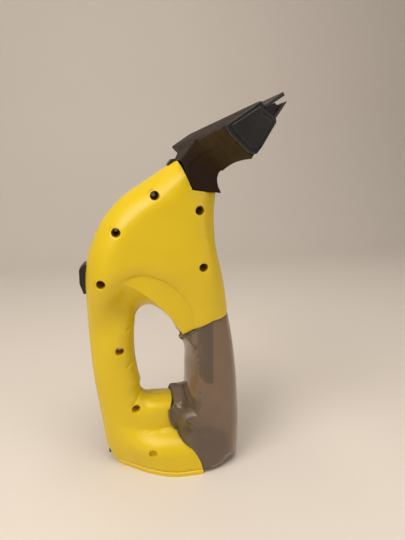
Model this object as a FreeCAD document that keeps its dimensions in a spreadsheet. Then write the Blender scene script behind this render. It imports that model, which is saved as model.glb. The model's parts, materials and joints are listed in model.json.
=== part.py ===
import FreeCAD, Part
import os
from math import cos, radians, sin
import Sketcher
from FreeCAD import Placement, Rotation, Vector

# Cordless window vacuum. Origin on the floor, under the middle of the base.
# +X points to the suction lips, +Z up, the housing halves meet on the plane Y = 0.

document = FreeCAD.newDocument("window_vacuum")
sizes = document.addObject("Spreadsheet::Sheet", "sizes")
driving_sizes = {
    "housing_width": 70.0,
    "arch_width": 60.0,
    "handle_width": 36.0,
    "wall": 2.0,
    "housing_edge_depth": 16.0,
    "housing_edge_inset": 9.0,
    "arch_edge_radius": 3.0,
    "handle_edge_depth": 14.0,
    "handle_edge_inset": 8.0,
    "base_height": 34.0,
    "arm_height": 66.5,
    "screw_recess_radius": 4.0,
    "boss_radius": 5.0,
    "boss_floor": 7.0,
    "screw_radius": 1.5,
    "screw_head_radius": 2.9,
    "screw_head_height": 2.2,
    "screw_length": 16.0,
    "part_line": 0.02,
    "tank_wall": 1.8,
    "tank_height": 152.0,
    "nozzle_width": 280.0,
    "nozzle_wall": 2.0,
    "neck_width": 62.0,
    "neck_tilt": 47.3,
    "end_cap_thickness": 3.0,
    "button_width": 16.0,
    "latch_width": 14.0,
    "cell_radius": 9.1,
    "cell_length": 65.0,
    "socket_radius": 4.2,
    "socket_bore_radius": 2.8,
    "socket_length": 12.0,
    "motor_radius": 12.0,
    "motor_length": 27.0,
    "shaft_radius": 1.0,
    "impeller_radius": 22.0,
    "impeller_depth": 8.0,
    "fan_housing_radius": 26.5,
    "plug_radius": 4.5,
    "plug_flange_radius": 7.0,
}
for row, (alias, value) in enumerate(driving_sizes.items(), start=1):
    sizes.set(f"A{row}", alias)
    sizes.set(f"B{row}", str(value))
    sizes.setAlias(f"B{row}", alias)
document.recompute()


def size(alias):
    return float(sizes.get(alias))


# Frames.
side_view = Rotation(Vector(1, 0, 0), 90)
along_y = Rotation(Vector(1, 0, 0), -90)
along_x = Rotation(Vector(0, 1, 0), 90)
neck_axis = Rotation(Vector(0, 1, 0), 90 - size("neck_tilt")).multVec(Vector(0, 0, 1))
neck_normal = Vector(0, 1, 0).cross(neck_axis)
neck_view = Rotation(Vector(0, 1, 0), neck_axis, neck_normal, "ZXY")


# Helpers.
def edge(points):
    ends = [Vector(*point, 0) for point in points]
    if len(points) == 2:
        return Part.LineSegment(*ends)
    return Part.Arc(*ends)


# A sketch arc always runs anticlockwise, so a clockwise stretch ends at its first point.
def is_clockwise(points):
    if len(points) == 2:
        return False
    (x1, y1), (x2, y2), (x3, y3) = points
    return (x2 - x1) * (y3 - y1) < (y2 - y1) * (x3 - x1)


# A closed outline: each stretch is a line (2 points) or an arc (start, middle, end).
def sketch(name, stretches, rotation, base=Vector()):
    drawn = document.addObject("Sketcher::SketchObject", name)
    drawn.Placement = Placement(base, rotation)
    drawn.addGeometry([edge(stretch) for stretch in stretches], False)
    for index, stretch in enumerate(stretches):
        following = (index + 1) % len(stretches)
        end = 1 if is_clockwise(stretch) else 2
        start = 2 if is_clockwise(stretches[following]) else 1
        drawn.addConstraint(Sketcher.Constraint("Coincident", index, end, following, start))
    return drawn


def side_sketch(name, stretches):
    return sketch(name, stretches, side_view)


def polygon(points):
    return [pair for pair in zip(points, points[1:] + points[:1])]


def extrude(name, drawn, length, direction=Vector(0, 1, 0), symmetric=True):
    solid = document.addObject("Part::Extrusion", name)
    solid.Base = drawn
    solid.DirMode = "Custom"
    solid.Dir = direction
    solid.Symmetric = symmetric
    solid.Solid = True
    bind(solid, "LengthFwd", length)
    return solid


def bind(solid, attribute, value):
    if isinstance(value, str):
        solid.setExpression(attribute, value)
    else:
        setattr(solid, attribute, value)


# A prism with rounded rims: each level is a height over the outline and an inset of it.
def rounded_prism(name, drawn, levels, normal):
    face = Part.Face(drawn.Shape.Wires[0])
    wires = []
    for height, inset in levels:
        level = face.makeOffset2D(-inset, 2) if inset > 0 else face
        wire = level.Faces[0].OuterWire.copy()
        wire.translate(normal * height)
        wires.append(wire)
    solid = document.addObject("Part::Feature", name)
    solid.Shape = Part.makeLoft(wires, True, True)
    return solid


# A quarter-round rim in four steps, from the flank at half_width back to the full outline.
def rim(half_width, depth, inset, shrink):
    angles = [radians(angle) for angle in (84, 60, 33, 0)]
    heights = [half_width - shrink - (depth - shrink) * (1 - sin(angle)) for angle in angles]
    insets = [shrink + inset * (1 - cos(angle)) for angle in angles]
    near = [(-height, step) for height, step in zip(heights, insets)]
    far = [(-height, step) for height, step in reversed(near)]
    return near + far


def fuse(name, *solids):
    joined = document.addObject("Part::MultiFuse", name)
    joined.Shapes = list(solids)
    return joined


def common(name, *solids):
    shared = document.addObject("Part::MultiCommon", name)
    shared.Shapes = list(solids)
    return shared


def cut(name, solid, *tools):
    tool = tools[0] if len(tools) == 1 else fuse(name + "_tools", *tools)
    rest = document.addObject("Part::Cut", name)
    rest.Base = solid
    rest.Tool = tool
    return rest


def block(name, corner, length, width, height):
    solid = document.addObject("Part::Box", name)
    bind(solid, "Length", length)
    bind(solid, "Width", width)
    bind(solid, "Height", height)
    solid.Placement = Placement(Vector(*corner), Rotation())
    return solid


def rod(name, foot, radius, length, rotation=Rotation()):
    solid = document.addObject("Part::Cylinder", name)
    bind(solid, "Radius", radius)
    bind(solid, "Height", length)
    solid.Placement = Placement(Vector(*foot), rotation)
    return solid


def loft(name, *sections):
    solid = document.addObject("Part::Loft", name)
    solid.Sections = list(sections)
    solid.Solid = True
    solid.Ruled = True
    return solid


def size_of(value):
    if not isinstance(value, str):
        return value
    total = 0.0
    for term in value.replace("- ", "+ -").split("+ "):
        sign = -1.0 if term.startswith("-") else 1.0
        word = term.strip(" -")
        total += sign * (size(word[6:]) if word.startswith("sizes.") else float(word))
    return total


# Holds a sketch corner at a distance from the sketch's origin, bound to the sheet where named.
def hold(drawn, kind, index, value):
    number = drawn.addConstraint(Sketcher.Constraint(kind, -1, 1, index, 1, size_of(value)))
    if isinstance(value, str):
        drawn.setExpression(f"Constraints[{number}]", value)


def body_sketch(body, name, role, corners):
    planes = {plane.Role: plane for plane in body.Origin.OriginFeatures}
    drawn = body.newObject("Sketcher::SketchObject", name)
    drawn.AttachmentSupport = [(planes[role], "")]
    drawn.MapMode = "FlatFace"
    places = [(size_of(across), size_of(up)) for across, up in corners]
    drawn.addGeometry([edge(pair) for pair in polygon(places)], False)
    for index in range(len(corners)):
        following = (index + 1) % len(corners)
        drawn.addConstraint(Sketcher.Constraint("Coincident", index, 2, following, 1))
    for index, (across, up) in enumerate(corners):
        hold(drawn, "DistanceX", index, across)
        hold(drawn, "DistanceY", index, up)
    return drawn


# A turned piece: its half profile, as (radius, height) corners, spun about its own Z axis.
def turned(name, profile, place=(0, 0, 0), rotation=Rotation()):
    body = document.addObject("PartDesign::Body", name)
    drawn = body_sketch(body, name + "_profile", "XZ_Plane", profile)
    document.recompute()
    spun = body.newObject("PartDesign::Revolution", name + "_turned")
    spun.Profile = drawn
    spun.ReferenceAxis = (drawn, ["V_Axis"])
    spun.Angle = 360
    body.Placement = Placement(Vector(*place), rotation)
    return body


# A piece with one side profile all along Y, padded evenly to both sides of the middle.
def padded(name, profile, width, place=(0, 0, 0), rotation=Rotation()):
    body = document.addObject("PartDesign::Body", name)
    drawn = body_sketch(body, name + "_profile", "XZ_Plane", profile)
    document.recompute()
    pad = body.newObject("PartDesign::Pad", name + "_pad")
    pad.Profile = drawn
    pad.Midplane = True
    bind(pad, "Length", width)
    body.Placement = Placement(Vector(*place), rotation)
    return body


# Yellow housing outlines.
neck_back = (27.5, 292.0)
neck_notch = (35.6, 266.4)
neck_front = (60.5, 262.5)
tank_top_front = (71.2, 151.0)
tank_top_bend = (52.5, 149.5)
tank_top_rear = (25.6, 138.0)
floor_seam = (41.0, 0.0)

upper_outline = side_sketch("upper_outline", [
    (neck_back, neck_notch),
    (neck_notch, neck_front),
    (neck_front, (58.3, 236.0), (61.6, 205.0)),
    ((61.6, 205.0), (67.0, 181.0), tank_top_front),
    (tank_top_front, tank_top_bend),
    (tank_top_bend, (36.5, 142.7)),
    ((36.5, 142.7), (23.0, 178.0), (-8.0, 195.6)),
    ((-8.0, 195.6), (-24.0, 193.0), (-38.0, 183.0)),
    ((-38.0, 183.0), (-58.6, 178.0)),
    ((-58.6, 178.0), (-55.0, 208.0), (-44.7, 233.5)),
    ((-44.7, 233.5), (-30.0, 253.2), (-10.3, 268.4)),
    ((-10.3, 268.4), neck_back),
])
arch_outline = side_sketch("arch_outline", [
    ((24.0, 130.0), (7.5, 165.5), (-25.0, 190.3)),
    ((-25.0, 190.3), (0.0, 212.0)),
    ((0.0, 212.0), (50.0, 180.0)),
    ((50.0, 180.0), (50.0, 130.0)),
    ((50.0, 130.0), (24.0, 130.0)),
])
spine_outline = side_sketch("spine_outline", [
    ((-55.6, 206.0), (-58.9, 150.0), (-57.3, 93.0)),
    ((-57.3, 93.0), (-53.6, 58.0), (-50.5, 28.4)),
    ((-50.5, 28.4), (-47.4, 13.5), (-41.0, 0.0)),
    ((-41.0, 0.0), floor_seam),
    (floor_seam, (37.5, 14.5), (29.0, 27.5)),
    ((29.0, 27.5), (29.0, 67.0)),
    ((29.0, 67.0), (-2.0, 67.8)),
    ((-2.0, 67.8), (-10.8, 71.5), (-13.7, 85.8)),
    ((-13.7, 85.8), (-17.9, 118.0), (-16.1, 146.6)),
    ((-16.1, 146.6), (-11.2, 157.4), (-1.0, 160.6)),
    ((-1.0, 160.6), (13.0, 150.5), (24.0, 130.0)),
    ((24.0, 130.0), (50.0, 130.0)),
    ((50.0, 130.0), (50.0, 206.0)),
    ((50.0, 206.0), (-55.6, 206.0)),
])
base_outline = sketch("base_outline", [
    ((-36.0, -9.0), (2.0, -33.0)),
    ((2.0, -33.0), (24.0, -39.2), (46.0, -39.5)),
    ((46.0, -39.5), (46.0, 39.5)),
    ((46.0, 39.5), (24.0, 39.2), (2.0, 33.0)),
    ((2.0, 33.0), (-36.0, 9.0)),
    ((-36.0, 9.0), (-41.5, 0.0), (-36.0, -9.0)),
], Rotation())
arm_outline = sketch("arm_outline", [
    ((-24.0, -17.0), (0.0, -21.0), (20.0, -33.0)),
    ((20.0, -33.0), (46.0, -33.0)),
    ((46.0, -33.0), (46.0, 33.0)),
    ((46.0, 33.0), (20.0, 33.0)),
    ((20.0, 33.0), (0.0, 21.0), (-24.0, 17.0)),
    ((-24.0, 17.0), (-24.0, -17.0)),
], Rotation())
document.recompute()


# The housing's outer volume for shrink 0, its hollow for shrink equal to the wall.
def housing_volume(name, shrink):
    flank = Vector(0, 1, 0)
    upward = Vector(0, 0, 1)
    upper_rim = rim(size("housing_width") / 2, size("housing_edge_depth"),
                    size("housing_edge_inset"), shrink)
    arch_rim = rim(size("arch_width") / 2, size("arch_edge_radius"), size("arch_edge_radius"),
                   shrink)
    handle_rim = rim(size("handle_width") / 2, size("handle_edge_depth"),
                     size("handle_edge_inset"), shrink)
    parts = [
        rounded_prism(name + "_upper", upper_outline, upper_rim, flank),
        rounded_prism(name + "_arch", arch_outline, arch_rim, flank),
        rounded_prism(name + "_spine", spine_outline, handle_rim, flank),
        rounded_prism(name + "_base", base_outline,
                      [(shrink, 1.5 + shrink), (4, shrink), (20, shrink), (28, 3 + shrink),
                       (size("base_height") - shrink, 11 + shrink)], upward),
        rounded_prism(name + "_arm", arm_outline,
                      [(20, shrink), (50, shrink), (60, 4 + shrink),
                       (size("arm_height") - shrink, 12 + shrink)], upward),
    ]
    return fuse(name, *parts)


housing_outside = housing_volume("housing_outside", 0.0)
housing_inside = housing_volume("housing_inside", size("wall"))

# Room for the tank.
# The seam runs down the front column's back, then down the front of the arm as three arcs.
def seam(gap):
    return [
        ((52.5, 149.5 - gap), (25.6 + gap / 2, 138.0 - gap)),
        ((25.6 + gap / 2, 138.0 - gap), (22.4 + gap, 133.0)),
        ((22.4 + gap, 133.0), (28.8 + gap, 118.0), (29.2 + gap, 100.0)),
        ((29.2 + gap, 100.0), (29.2 + gap, 67.2)),
        ((29.2 + gap, 67.2), (16.0 + gap, 67.2)),
        ((16.0 + gap, 67.2), (12.2 + gap, 56.0), (14.0 + gap, 43.8)),
        ((14.0 + gap, 43.8), (21.0 + gap, 33.4), (30.4 + gap, 26.2)),
        ((30.4 + gap, 26.2), (37.5 + gap, 14.5), (41.0 + gap, 0.0)),
    ]


def room_side(gap):
    front = 95.0
    top = 151.6 - gap
    return [((front, top), (52.5, 149.5 - gap))] + seam(gap) + [
        ((41.0 + gap, 0.0), (front, 0.0)),
        ((front, 0.0), (front, top)),
    ]


def tank_side(shrink):
    gap = 0.5 + shrink
    top_front = (71.6 - shrink, 151.0 - gap)
    middle_front = (80.6 - shrink, 71.2)
    return [(top_front, (52.5, 149.5 - gap))] + seam(gap) + [
        ((41.0 + gap, 0.0), (78.2 - shrink, 0.0)),
        ((78.2 - shrink, 0.0), (81.6 - shrink, 36.0), middle_front),
        (middle_front, (77.6 - shrink, 112.0), top_front),
    ]


def tongue_block(name, slack):
    half = size("handle_width") / 2 + slack
    return block(name, (10.0, -half, 30.0 - 2 * slack), 19.2 + slack, 2 * half, 37.1 + 3 * slack)


tank_room = extrude("tank_room", side_sketch("tank_room_side", room_side(0.0)), 120.0)
arch_tip = block("arch_tip", (18.0, -40.0, 120.0), 10.0, 80.0, 14.6)
tank_room_open = cut("tank_room_open", fuse("tank_room_tip", tank_room, arch_tip),
                     tongue_block("tongue_keep", 0.0))


# Housing halves.
wide = size("housing_width") / 2
narrow = size("handle_width") / 2
screw_places = [
    (4.6, 262.3), (41.7, 249.3), (-28.6, 232.7), (44.3, 200.2),
    (-43.5, 189.0), (-31.6, 122.0), (-19.5, 56.0), (-5.8, 22.5),
]
bosses = []
recesses = []
screw_holes = []
for number, (x, z) in enumerate(screw_places, start=1):
    bosses.append(rod(f"boss_{number}", (x, -50.0, z), "sizes.boss_radius", 100.0, along_y))
    recesses.append(rod(f"recess_{number}", (x, -60.0, z), "sizes.screw_recess_radius",
                        "60 - sizes.boss_floor", along_y))
    screw_holes.append(rod(f"screw_hole_{number}", (x, -30.0, z), "sizes.screw_radius + 0.05",
                           41.0, along_y))

button_z = (176.0, 202.4)
button_slot = block("button_slot", (-66.0, -size("button_width") / 2 - 0.3, button_z[0] - 0.3),
                    20.0, "sizes.button_width + 0.6", button_z[1] - button_z[0] + 0.6)
socket_place = (-50.0, 0.0, 13.0)
socket_hole = rod("socket_hole", socket_place, "sizes.socket_radius + 0.02", 20.0, along_x)


def neck_point(along, across, y=0.0):
    return neck_axis * along + neck_normal * across + Vector(0, y, 0)


# A box laid out on the neck's own axes: along the neck, then across it from back to front.
def neck_block(name, along, across, width):
    low, high = along
    back, front = across
    solid = document.addObject("Part::Box", name)
    bind(solid, "Length", width)
    solid.Width = high - low
    solid.Height = front - back
    half = size(width.split(".")[1]) / 2 if isinstance(width, str) else width / 2
    solid.Placement = Placement(neck_point(low, back, -half), neck_view)
    return solid


latch_slot = neck_block("latch_slot", (222.6, 240.0), (-184.0, -172.0), 14.6)
air_window = block("air_window", (50.5, -17.0, 145.0), 3.8, 34.0, 12.0)
return_window = block("return_window", (33.2, -15.0, 136.0), 9.6, 30.0, 18.0)
spigot_window = neck_block("spigot_window", (214.0, 240.0), (-168.3, -146.7), 42.6)
openings = [button_slot, socket_hole, latch_slot, air_window, return_window, spigot_window]
exhaust_slots = [
    block(f"exhaust_slot_{row}", (-12.0 + 4 * abs(row - 3), 25.0, 214.0 + 5.0 * row),
          34.0 - 8 * abs(row - 3), 15.0, 2.4)
    for row in range(7)
]

hollow = cut("hollow", housing_inside, fuse("bosses", *bosses), tank_room)
front_wall = extrude("front_wall", side_sketch("front_wall_side", room_side(-size("wall"))), 120.0)
tongue_hollow = block("tongue_hollow", (0.0, -narrow + 2, 32.0), 27.2, 2 * narrow - 4, 33.1)
hollow_behind = fuse("hollow_behind", cut("hollow_cut", hollow, front_wall), tongue_hollow)
housing_walls = cut("housing_walls", housing_outside, hollow_behind, tank_room_open)
right_half = block("right_half", (-100.0, -80.0, -10.0), 200.0, "80 - sizes.part_line / 2", 320.0)
left_half = block("left_half", (-100.0, size("part_line") / 2, -10.0), 200.0, 80.0, 320.0)
right_shell = cut("right_shell", common("right_walls", housing_walls, right_half),
                  *recesses, *screw_holes, *openings)
left_shell = cut("left_shell", common("left_walls", housing_walls, left_half),
                 *screw_holes, *exhaust_slots, *openings)


screw = turned("one_screw", [
    (0.0, "-sizes.screw_length"),
    ("sizes.screw_radius", "-sizes.screw_length"),
    ("sizes.screw_radius", 0.0),
    ("sizes.screw_head_radius", 0.0),
    ("sizes.screw_head_radius", "sizes.screw_head_height - 0.8"),
    ("sizes.screw_head_radius - 1", "sizes.screw_head_height"),
    (0.0, "sizes.screw_head_height"),
])
document.recompute()
housing_screws = document.addObject("Part::Feature", "housing_screws")
placed_screws = []
for x, z in screw_places:
    placed = screw.Shape.copy()
    placed.Placement = Placement(Vector(x, -size("boss_floor"), z), side_view)
    placed_screws.append(placed)
housing_screws.Shape = Part.makeCompound(placed_screws)

# Controls and power.
power_button = padded("power_button", [
    (-55.0, button_z[0]),
    (-60.2, button_z[0]),
    (-62.9, 185.0),
    (-63.4, 192.5),
    (-62.4, 198.5),
    (-58.4, button_z[1]),
    (-55.0, button_z[1]),
], "sizes.button_width")
board_front = -49.0
board_back = board_front - 1.4
power_switch = padded("power_switch", [
    (board_back, 186.5),
    (board_back - 2.6, 186.5),
    (board_back - 2.6, 188.0),
    (board_back - 3.0, 188.0),
    (board_back - 3.0, 191.0),
    (board_back - 2.6, 191.0),
    (board_back - 2.6, 192.5),
    (board_back, 192.5),
], 6.0)
control_board = block("control_board", (board_back, -10.0, 158.0), board_front - board_back,
                      20.0, 43.0)
indicator_light = turned("indicator_light", [(0, 0), (1.5, 0), (1.5, 2.0), (1.0, 2.6), (0, 2.6)],
                         (board_back, 0.0, 179.5), Rotation(Vector(0, 1, 0), -90))
charging_socket = turned("charging_socket", [
    ("sizes.socket_bore_radius", 0.0),
    ("sizes.socket_radius", 0.0),
    ("sizes.socket_radius", "sizes.socket_length"),
    (0.0, "sizes.socket_length"),
    (0.0, "sizes.socket_length - 1.5"),
    ("sizes.socket_bore_radius", "sizes.socket_length - 1.5"),
], (-47.6, 0.0, 13.0), along_x)
cell_foot = Vector(-45.4, 0.0, 88.0)
cell_lean = Rotation(Vector(0, 1, 0), -1.7)
battery_cell = turned("battery_cell", [
    (0.0, 0.0),
    ("sizes.cell_radius - 0.8", 0.0),
    ("sizes.cell_radius", 0.8),
    ("sizes.cell_radius", "sizes.cell_length - 0.8"),
    ("sizes.cell_radius - 0.8", "sizes.cell_length"),
    (3.0, "sizes.cell_length"),
    (3.0, "sizes.cell_length + 1"),
    (0.0, "sizes.cell_length + 1"),
], cell_foot, cell_lean)
battery_tabs = document.addObject("Part::Feature", "battery_tabs")
battery_tabs.Shape = Part.makeCompound([
    Part.makeBox(8.0, 6.0, 0.4, Vector(-4.0, -3.0, height))
    for height in (-0.5, size("cell_length") + 1.1)
])
battery_tabs.Placement = Placement(cell_foot, cell_lean)

# Motor and fan, axis along Y.
fan_x = 8.0
fan_z = 226.0


def on_fan_axis(name, profile, start):
    return turned(name, profile, (fan_x, start, fan_z), along_y)


motor_can = on_fan_axis("motor_can", [
    (3.1, 0.0),
    ("sizes.motor_radius", 0.0),
    ("sizes.motor_radius", "sizes.motor_length"),
    ("sizes.motor_radius - 1", "sizes.motor_length"),
    ("sizes.motor_radius - 1", 1.0),
    (3.1, 1.0),
], 0.0)
motor_end_cap = on_fan_axis("motor_end_cap", [
    (3.1, 0.0),
    ("sizes.motor_radius", 0.0),
    ("sizes.motor_radius", 2.0),
    (4.5, 2.0),
    (4.5, 3.5),
    (0.0, 3.5),
    (0.0, 2.6),
    (3.1, 2.6),
], size("motor_length"))
magnet_ring = [(8.6, 6.0), ("sizes.motor_radius - 1", 6.0), ("sizes.motor_radius - 1", 22.0),
               (8.6, 22.0)]
motor_magnets = cut("motor_magnets", on_fan_axis("magnet_ring", magnet_ring, 0.0),
                    block("magnet_gap", (fan_x - 3.0, 0.0, fan_z - 20.0), 6.0, 30.0, 40.0))
bearing_profile = [("sizes.shaft_radius + 0.02", 0.0), (3.1, 0.0), (3.1, 2.4),
                   ("sizes.shaft_radius + 0.02", 2.4)]
front_bearing = on_fan_axis("front_bearing", bearing_profile, 0.0)
rear_bearing = on_fan_axis("rear_bearing", bearing_profile, size("motor_length"))
motor_shaft = on_fan_axis("motor_shaft", [
    (0.0, 0.0),
    ("sizes.shaft_radius", 0.0),
    ("sizes.shaft_radius", "sizes.motor_length + 20"),
    (0.0, "sizes.motor_length + 20"),
], -17.8)
armature = on_fan_axis("armature", [
    ("sizes.shaft_radius", 0.0),
    (8.0, 0.0),
    (8.0, 15.0),
    (3.0, 15.0),
    (3.0, 20.0),
    ("sizes.shaft_radius", 20.0),
], 5.0)

impeller = document.addObject("PartDesign::Body", "impeller")
disc_sketch = body_sketch(impeller, "impeller_disc", "XZ_Plane", [
    ("sizes.shaft_radius", 0.0),
    ("sizes.impeller_radius", 0.0),
    ("sizes.impeller_radius", 1.2),
    (4.0, 1.2),
    (4.0, "sizes.impeller_depth"),
    ("sizes.shaft_radius", "sizes.impeller_depth"),
])
document.recompute()
impeller_disc = impeller.newObject("PartDesign::Revolution", "impeller_disc_turned")
impeller_disc.Profile = disc_sketch
impeller_disc.ReferenceAxis = (disc_sketch, ["V_Axis"])
impeller_disc.Angle = 360
blade_sketch = body_sketch(impeller, "impeller_blade", "XY_Plane", [
    (7.0, 2.0),
    (14.0, 5.2),
    ("sizes.impeller_radius - 1", 10.5),
    ("sizes.impeller_radius - 1.4", 11.4),
    (13.6, 6.2),
    (6.6, 3.0),
])
document.recompute()
impeller_blade = impeller.newObject("PartDesign::Pad", "impeller_blade_pad")
impeller_blade.Profile = blade_sketch
bind(impeller_blade, "Length", "sizes.impeller_depth")
document.recompute()
impeller_blades = impeller.newObject("PartDesign::PolarPattern", "impeller_blades")
impeller_blades.Originals = [impeller_blade]
impeller_blades.Axis = (blade_sketch, ["N_Axis"])
impeller_blades.Angle = 360
impeller_blades.Occurrences = 9
impeller.Tip = impeller_blades
impeller.Placement = Placement(Vector(fan_x, -6.0, fan_z), side_view)

fan_housing_cup = on_fan_axis("fan_housing_cup", [
    (10.0, 0.0),
    ("sizes.fan_housing_radius", 0.0),
    ("sizes.fan_housing_radius", 16.5),
    ("sizes.fan_housing_radius - 1.4", 16.5),
    ("sizes.fan_housing_radius - 1.4", 1.4),
    (10.0, 1.4),
], -18.4)
fan_housing = cut("fan_housing", fan_housing_cup,
                  block("fan_outlet", (fan_x - 40.0, -16.0, fan_z - 14.0), 22.0, 12.0, 24.0))
motor_plate = on_fan_axis("motor_plate", [
    (3.4, 0.0),
    ("sizes.fan_housing_radius", 0.0),
    ("sizes.fan_housing_radius", 1.6),
    (3.4, 1.6),
], -1.75)

# Air path.
air_duct = cut("air_duct",
               block("air_duct_outside", (49.4, -18.2, 152.6), 6.0, 36.4, 99.0),
               block("air_duct_inside", (50.5, -17.0, 150.0), 3.8, 34.0, 104.0))
return_duct = cut("return_duct",
                  block("return_duct_outside", (32.0, -16.2, 152.5), 12.0, 32.4, 34.0),
                  block("return_duct_inside", (33.2, -15.0, 150.0), 9.6, 30.0, 38.0))

# Tank.
def tank_section(name, height, rear, rear_half, flank, flank_half, front):
    bulge = (front ** 2 - flank ** 2 - flank_half ** 2) / (2 * (front - flank))
    radius = front - bulge
    return sketch(name, [
        ((rear, rear_half), (rear, -rear_half)),
        ((rear, -rear_half), (flank, -flank_half)),
        ((flank, -flank_half), (bulge + radius, 0.0), (flank, flank_half)),
        ((flank, flank_half), (rear, rear_half)),
    ], Rotation(), Vector(0, 0, height))


def tank_volume(name, shrink, floor):
    height = size("tank_height")
    taper = loft(name + "_taper",
                 tank_section(name + "_low", 0.0, 8 + shrink, 23 - shrink, 34, 38 - shrink,
                              84.5 - shrink),
                 tank_section(name + "_high", height, 27 + shrink, 20 - shrink, 36, 28 - shrink,
                              72.0 - shrink))
    side = extrude(name + "_side", side_sketch(name + "_side_view", tank_side(shrink)), 120.0)
    ground = block(name + "_floor", (0.0, -50.0, -1.0), 100.0, 100.0, floor + 1.0)
    return cut(name, common(name + "_body", taper, side), ground,
               tongue_block(name + "_tongue", 0.5 + shrink))


tank_outside = tank_volume("tank_outside", 0.0, 2.0)
tank_inside = tank_volume("tank_inside", size("tank_wall"), 2.0 + size("tank_wall"))


# The tank is closed by a lid along its slanted top; depths are measured down from the housing.
lid_rise = (149.5 - 138.0) / (52.5 - 25.6)


def above(name, depth):
    return extrude(name, side_sketch(name + "_side", polygon([
        (15.0, 138.0 - depth - 10.6 * lid_rise),
        (52.5, 149.5 - depth),
        (95.0, 151.6 - depth),
        (95.0, 170.0),
        (15.0, 170.0),
    ])), 120.0)


def lid_strip(name, depth, thickness, start, end, width):
    low, high = [138.0 - depth + (x - 25.6) * lid_rise for x in (start, end)]
    return padded(name, [(start, low), (start, low - thickness), (end, high - thickness),
                         (end, high)], width)


lid_windows = [
    block("lid_air_window", (50.4, -8.8, 130.0), 5.0, 17.6, 30.0),
    block("lid_return_window", (34.2, -12.0, 120.0), 8.0, 24.0, 40.0),
]
tank_lid = cut("tank_lid", common("tank_lid_blank", tank_outside, above("lid_zone", 3.2)),
               tank_inside, lid_strip("seal_pocket", -1.0, 2.4, 31.0, 49.4, 31.0), *lid_windows)
tank_seal = cut("tank_seal", lid_strip("seal_strip", 0.25, 1.1, 31.1, 49.3, 30.8),
                block("seal_return_window", (34.2, -12.0, 120.0), 8.0, 24.0, 40.0))
plug_place = (45.0, 33.0, 30.0)
plug_hole = rod("plug_hole", plug_place, "sizes.plug_radius + 0.02", 20.0, along_y)
tank_shell = cut("tank_shell", tank_outside, tank_inside, above("lid_room", 3.22), plug_hole)
tank_plug = turned("tank_plug", [
    (0.0, 0.0),
    ("sizes.plug_radius", 0.0),
    ("sizes.plug_radius", 5.4),
    ("sizes.plug_flange_radius", 5.4),
    ("sizes.plug_flange_radius", 7.2),
    (0.0, 7.2),
], plug_place, along_y)
riser_pipe = cut("riser_pipe",
                 block("riser_outside", (49.2, -10.0, 78.0), 7.4, 20.0, 67.0),
                 block("riser_inside", (50.4, -8.8, 77.0), 5.0, 17.6, 69.0))
baffle_plate = block("baffle_plate", (46.0, -18.0, 84.0), 1.2, 36.0, 59.5)

# Suction nozzle.
half_span = size("nozzle_width") / 2
neck_half = size("neck_width") / 2
parting = -169.0
mouth_outline = polygon([
    (38.8, 308.4), (59.8, 322.1), (61.6, 319.8), (61.6, 317.5), (69.3, 312.0),
    (69.3, 309.9), (60.8, 296.0), (57.6, 292.1), (53.1, 292.9), (41.6, 303.5),
])
neck_outline = [
    ((28.1, 292.4), (36.1, 267.0)),
    ((36.1, 267.0), (60.9, 263.1)),
    ((60.9, 263.1), (55.2, 279.0), (57.6, 292.1)),
    ((57.6, 292.1), (66.0, 305.0)),
    ((66.0, 305.0), (50.0, 315.7)),
    ((50.0, 315.7), (38.8, 308.4)),
    ((38.8, 308.4), (28.1, 292.4)),
]


# Seen across its thickness, the neck flares like a trumpet to the full width of the mouth.
def flare_outline(name, inset):
    root = neck_half - inset
    tip = half_span - size("end_cap_thickness") - 0.02 - inset
    low = 210.0
    high = 280.0
    start = 233.0
    end = 251.3 + inset
    bend = 245.5 + inset
    bend_y = 66.0
    return sketch(name, [
        ((root, low), (root, start)),
        ((root, start), (root + 9.0, 240.5 + inset / 2), (bend_y, bend)),
        ((bend_y, bend), (104.0, end - 1.4), (tip, end)),
        ((tip, end), (tip, high)),
        ((tip, high), (-tip, high)),
        ((-tip, high), (-tip, end)),
        ((-tip, end), (-104.0, end - 1.4), (-bend_y, bend)),
        ((-bend_y, bend), (-root - 9.0, 240.5 + inset / 2), (-root, start)),
        ((-root, start), (-root, low)),
        ((-root, low), (root, low)),
    ], neck_view, neck_normal * parting)


def even_prism(name, drawn, half_width, inset):
    return rounded_prism(name, drawn, [(-half_width, inset), (half_width, inset)], Vector(0, 1, 0))


neck_side_view = side_sketch("neck_side_view", neck_outline)
mouth_side_view = side_sketch("mouth_side_view", mouth_outline)
document.recompute()


def nozzle_volume(name, inset):
    flare = extrude(name + "_flare", flare_outline(name + "_flare_view", inset), 140.0,
                    neck_normal)
    side = fuse(name + "_side",
                even_prism(name + "_neck", neck_side_view, half_span, inset),
                even_prism(name + "_mouth", mouth_side_view, half_span, inset))
    return common(name, side, flare)


nozzle_outside = nozzle_volume("nozzle_outside", 0.0)
nozzle_inside = nozzle_volume("nozzle_inside", size("nozzle_wall"))
spigot = neck_block("spigot", (212.0, 240.0), (-168.0, -147.0), 42.0)
spigot_bore = neck_block("spigot_bore", (210.0, 244.0), (-166.5, -148.5), 39.0)
mouth_slot = neck_block("mouth_slot", (268.0, 284.0), (-171.0, -160.0), 268.2)
nozzle_walls = cut("nozzle_walls", fuse("nozzle_with_spigot", nozzle_outside, spigot),
                   nozzle_inside, spigot_bore, mouth_slot)
back_room = neck_block("back_room", (200.0, 300.0), (-230.0, parting), 300.0)
front_room = neck_block("front_room", (200.0, 300.0), (parting + 0.02, -100.0), 300.0)
nozzle_back_shell = common("nozzle_back_shell", nozzle_walls, back_room)
nozzle_front_shell = common("nozzle_front_shell", nozzle_walls, front_room)


def neck_corner(along, across):
    corner = neck_point(along, across)
    return (corner.x, corner.z)


def neck_profile(name, corners, width):
    return padded(name, [neck_corner(*corner) for corner in corners], width)


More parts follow.
